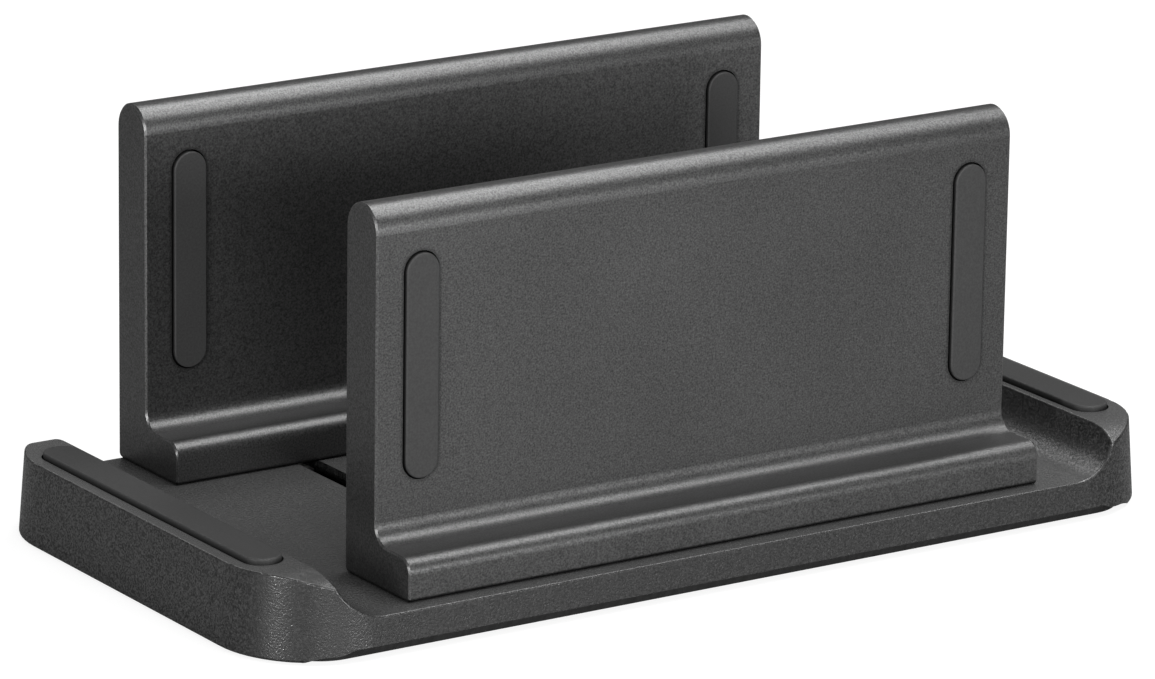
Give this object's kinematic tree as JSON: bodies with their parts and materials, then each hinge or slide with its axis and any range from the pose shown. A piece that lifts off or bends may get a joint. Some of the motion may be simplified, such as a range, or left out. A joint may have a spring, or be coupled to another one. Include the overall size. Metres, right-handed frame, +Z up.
{
  "type": "vertical laptop stand",
  "caption": "Low tray with raised, padded ends and two upright plates that slide towards each other to hold a closed laptop on edge.",
  "frame": {"origin": "middle of the tray, on the table", "axes": "+X along the tray to its right end, +Y from the tray's front to its rear, +Z up"},
  "size_m": [0.25, 0.1354, 0.0976],
  "materials": {
    "tray_metal": "fine grained dark coat",
    "upright_metal": "blasted, dark anodised",
    "plate_steel": "bare sheet",
    "mat_rubber": "matt",
    "pad_rubber": "smooth satin",
    "shoe_plastic": "natural, slippery",
    "screw_steel": "zinc plated",
    "spring_steel": "bright"
  },
  "bodies": {
    "base": {"base_body": "tray_metal", "base_plate": "plate_steel", "grip_mat": "mat_rubber", "plate_screws": "screw_steel", "left_end_pad": "pad_rubber", "right_end_pad": "pad_rubber"},
    "front_slider": {"front_upright": "upright_metal", "front_upright_front_left_pad": "pad_rubber", "front_upright_front_right_pad": "pad_rubber", "front_upright_back_left_pad": "pad_rubber", "front_upright_back_right_pad": "pad_rubber", "front_left_shoe": "shoe_plastic", "front_right_shoe": "shoe_plastic", "front_clamp_screws": "screw_steel", "front_spring_washers": "spring_steel"},
    "rear_slider": {"rear_upright": "upright_metal", "rear_upright_front_left_pad": "pad_rubber", "rear_upright_front_right_pad": "pad_rubber", "rear_upright_back_left_pad": "pad_rubber", "rear_upright_back_right_pad": "pad_rubber", "rear_left_shoe": "shoe_plastic", "rear_right_shoe": "shoe_plastic", "rear_clamp_screws": "screw_steel", "rear_spring_washers": "spring_steel"}
  },
  "joints": [
    {"name": "front_slide", "type": "slide", "parent": "base", "child": "front_slider", "axis": [0, 1, 0], "range_m": [0, 0.036]},
    {"name": "rear_slide", "type": "slide", "parent": "base", "child": "rear_slider", "axis": [0, -1, 0], "range_m": [0, 0.036]}
  ]
}
